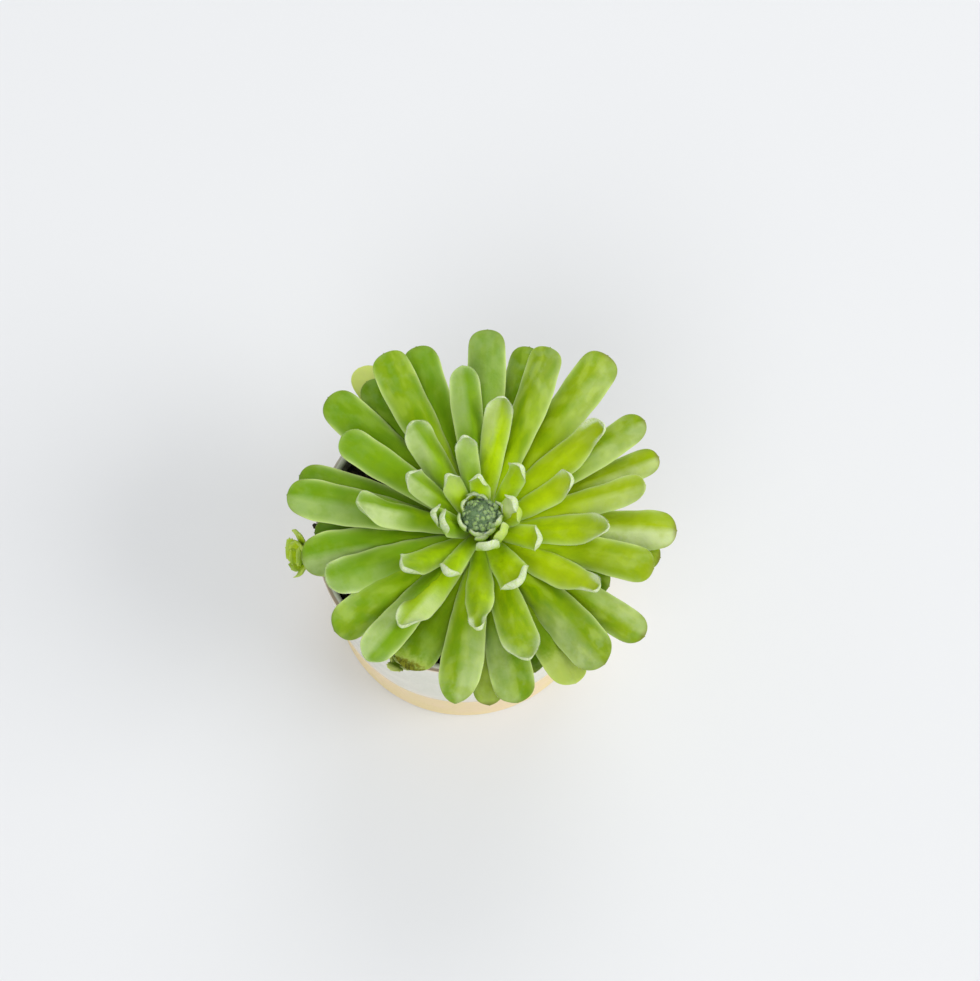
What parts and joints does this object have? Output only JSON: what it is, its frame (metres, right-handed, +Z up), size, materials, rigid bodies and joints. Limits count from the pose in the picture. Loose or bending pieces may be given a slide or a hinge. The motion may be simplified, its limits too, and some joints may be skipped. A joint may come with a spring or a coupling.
{
  "type": "potted houseleek",
  "caption": "Houseleek rosette with small offsets in a round two-tone ceramic pot, standing on its flat underside.",
  "frame": {"origin": "centre of the pot's flat underside", "axes": "+Z up, -Y towards the picture's near side, +X to its right"},
  "size_m": [0.1549, 0.1567, 0.1174],
  "materials": {
    "pot": "white glaze above a bare clay foot band",
    "soil": "moist potting mix, rough",
    "leaf": "fleshy leaf with a waxy satin skin",
    "offset_leaf": "young fleshy leaf, satin",
    "old_offset_leaf": "olive fleshy leaf with dry edges"
  },
  "bodies": {
    "root": {"pot": "pot", "soil": "soil", "rosette": "leaf", "offset_left": "offset_leaf", "offset_front": "old_offset_leaf"}
  },
  "joints": []
}
